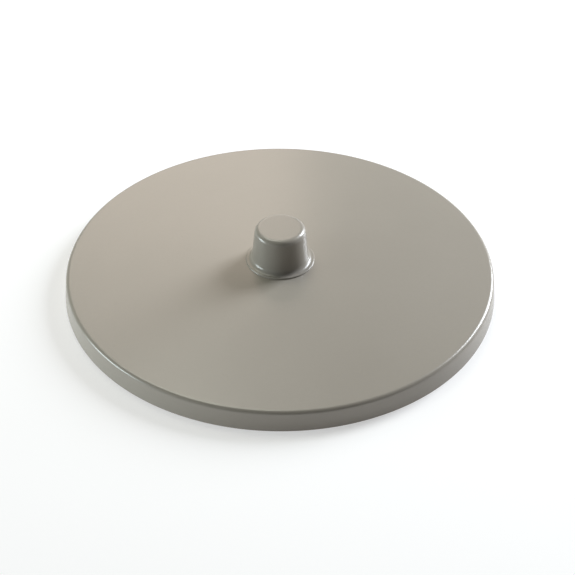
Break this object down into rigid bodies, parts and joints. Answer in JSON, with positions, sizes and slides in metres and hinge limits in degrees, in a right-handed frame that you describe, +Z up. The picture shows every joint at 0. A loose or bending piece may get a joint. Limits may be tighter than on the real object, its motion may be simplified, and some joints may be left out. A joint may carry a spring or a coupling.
{
  "type": "lift-off manhole cover",
  "caption": "Round lift-off manhole cover: shallow cone top with a grip knob, short skirt, foam core, tray with a locating spigot and rim seal.",
  "frame": {"origin": "centre of the circle that the skirt's lower edge stands on", "axes": "+Z up along the cover's axis, out through the knob; the foam fill hole lies on +X"},
  "size_m": [0.4239, 0.424, 0.0679],
  "materials": {
    "cover_grey": "satin to semi-gloss moulded skin, warm stone grey",
    "knob_grey": "satin to semi-gloss moulding, same warm grey as the cover",
    "tray_grey": "matt moulded sheet, a little darker than the top",
    "seal_rubber": "matt black solid rubber",
    "insert_brass": "turned brass",
    "screw_steel": "stainless steel, dull",
    "plate_steel": "zinc plated sheet steel",
    "sleeve_plastic": "extruded rigid tube, dark grey",
    "core_foam": "rigid closed-cell polyurethane foam, straw yellow",
    "adhesive": "cured elastic bonding bead, dark grey",
    "plug_plastic": "push-in moulded plug, near black"
  },
  "bodies": {
    "root": {"cover_skin": "cover_grey", "grip_knob": "knob_grey", "inner_tray": "tray_grey", "rim_seal": "seal_rubber", "knob_seal": "seal_rubber", "sealing_washer": "seal_rubber", "knob_insert": "insert_brass", "tie_screw": "screw_steel", "steel_washer": "screw_steel", "pressure_plate": "plate_steel", "spacer_sleeve": "sleeve_plastic", "foam_core": "core_foam", "rim_adhesive": "adhesive", "fill_plug": "plug_plastic", "vent_plugs": "plug_plastic"}
  },
  "joints": []
}
